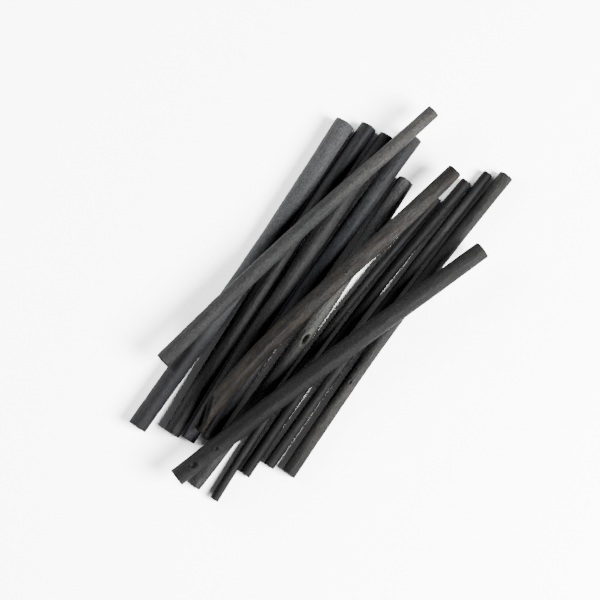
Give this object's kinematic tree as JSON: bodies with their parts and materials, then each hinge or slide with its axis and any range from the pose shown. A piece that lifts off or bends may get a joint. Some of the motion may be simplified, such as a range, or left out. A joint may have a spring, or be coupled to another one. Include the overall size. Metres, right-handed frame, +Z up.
{
  "type": "heap of willow charcoal drawing sticks",
  "caption": "Loose heap of willow charcoal drawing sticks: a row lying side by side with slightly bowed sticks laid across it; sawn ends, one knot hole, one split end.",
  "frame": {"origin": "centre of the heap's bounding box, on the table surface", "axes": "+X along the row of sticks, +Y across the row towards the thick light stick, +Z up from the table"},
  "size_m": [0.1838, 0.0866, 0.0154],
  "materials": {
    "thick_stick_left": "matt charred wood, dusty",
    "thick_stick_dark": "matt charred wood, dusty",
    "thick_stick_tapered": "matt charred wood, dusty",
    "thick_stick_grey": "matt charred wood, dusty",
    "medium_stick_knotted": "matt charred wood, dusty",
    "thin_stick_chipped": "matt charred wood, dusty",
    "thin_stick_bowed": "matt charred wood, dusty",
    "thin_stick_slim": "matt charred wood, dusty",
    "medium_stick_right": "matt charred wood, dusty",
    "medium_stick_upper": "matt charred wood, dusty",
    "medium_stick_split": "matt charred wood, dusty",
    "medium_stick_lower": "matt charred wood, dusty",
    "pith": "matt carbonised pith"
  },
  "bodies": {
    "thick_stick_left": {"thick_stick_left": "thick_stick_left", "thick_stick_left_pith": "pith"},
    "thick_stick_dark": {"thick_stick_dark": "thick_stick_dark", "thick_stick_dark_pith": "pith"},
    "thick_stick_tapered": {"thick_stick_tapered": "thick_stick_tapered", "thick_stick_tapered_pith": "pith"},
    "thick_stick_grey": {"thick_stick_grey": "thick_stick_grey", "thick_stick_grey_pith": "pith"},
    "medium_stick_knotted": {"medium_stick_knotted": "medium_stick_knotted", "medium_stick_knotted_pith": "pith"},
    "thin_stick_chipped": {"thin_stick_chipped": "thin_stick_chipped", "thin_stick_chipped_pith": "pith"},
    "thin_stick_bowed": {"thin_stick_bowed": "thin_stick_bowed", "thin_stick_bowed_pith": "pith"},
    "thin_stick_slim": {"thin_stick_slim": "thin_stick_slim", "thin_stick_slim_pith": "pith"},
    "medium_stick_right": {"medium_stick_right": "medium_stick_right", "medium_stick_right_pith": "pith"},
    "medium_stick_upper": {"medium_stick_upper": "medium_stick_upper", "medium_stick_upper_pith": "pith"},
    "medium_stick_split": {"medium_stick_split": "medium_stick_split", "medium_stick_split_pith": "pith"},
    "medium_stick_lower": {"medium_stick_lower": "medium_stick_lower", "medium_stick_lower_pith": "pith"}
  },
  "joints": [
    {"name": "thick_stick_left_draw_out", "type": "slide", "parent": "thin_stick_bowed", "child": "thick_stick_left", "axis": [-0.9994, 0.0354, 0], "range_m": [0, 0.15]},
    {"name": "thick_stick_dark_draw_out", "type": "slide", "parent": "thin_stick_bowed", "child": "thick_stick_dark", "axis": [-0.9996, -0.0277, 0], "range_m": [0, 0.15]},
    {"name": "thick_stick_tapered_draw_out", "type": "slide", "parent": "thin_stick_bowed", "child": "thick_stick_tapered", "axis": [0.9995, 0.0304, 0], "range_m": [0, 0.15]},
    {"name": "thick_stick_grey_draw_out", "type": "slide", "parent": "thin_stick_bowed", "child": "thick_stick_grey", "axis": [0.9999, 0.0117, 0], "range_m": [0, 0.15]},
    {"name": "medium_stick_knotted_draw_out", "type": "slide", "parent": "thin_stick_bowed", "child": "medium_stick_knotted", "axis": [-0.9999, -0.0105, 0], "range_m": [0, 0.15]},
    {"name": "thin_stick_chipped_draw_out", "type": "slide", "parent": "thin_stick_bowed", "child": "thin_stick_chipped", "axis": [0.9998, 0.0202, 0], "range_m": [0, 0.15]},
    {"name": "thin_stick_slim_draw_out", "type": "slide", "parent": "thin_stick_bowed", "child": "thin_stick_slim", "axis": [-0.9996, 0.0298, 0], "range_m": [0, 0.15]},
    {"name": "medium_stick_right_draw_out", "type": "slide", "parent": "thin_stick_bowed", "child": "medium_stick_right", "axis": [-0.9999, 0.0106, 0], "range_m": [0, 0.15]},
    {"name": "medium_stick_upper_lift_off", "type": "slide", "parent": "thin_stick_bowed", "child": "medium_stick_upper", "axis": [0, 0, 1], "range_m": [0, 0.06]},
    {"name": "medium_stick_split_lift_off", "type": "slide", "parent": "thin_stick_bowed", "child": "medium_stick_split", "axis": [0, 0, 1], "range_m": [0, 0.06]},
    {"name": "medium_stick_lower_lift_off", "type": "slide", "parent": "thin_stick_bowed", "child": "medium_stick_lower", "axis": [0, 0, 1], "range_m": [0, 0.06]}
  ]
}
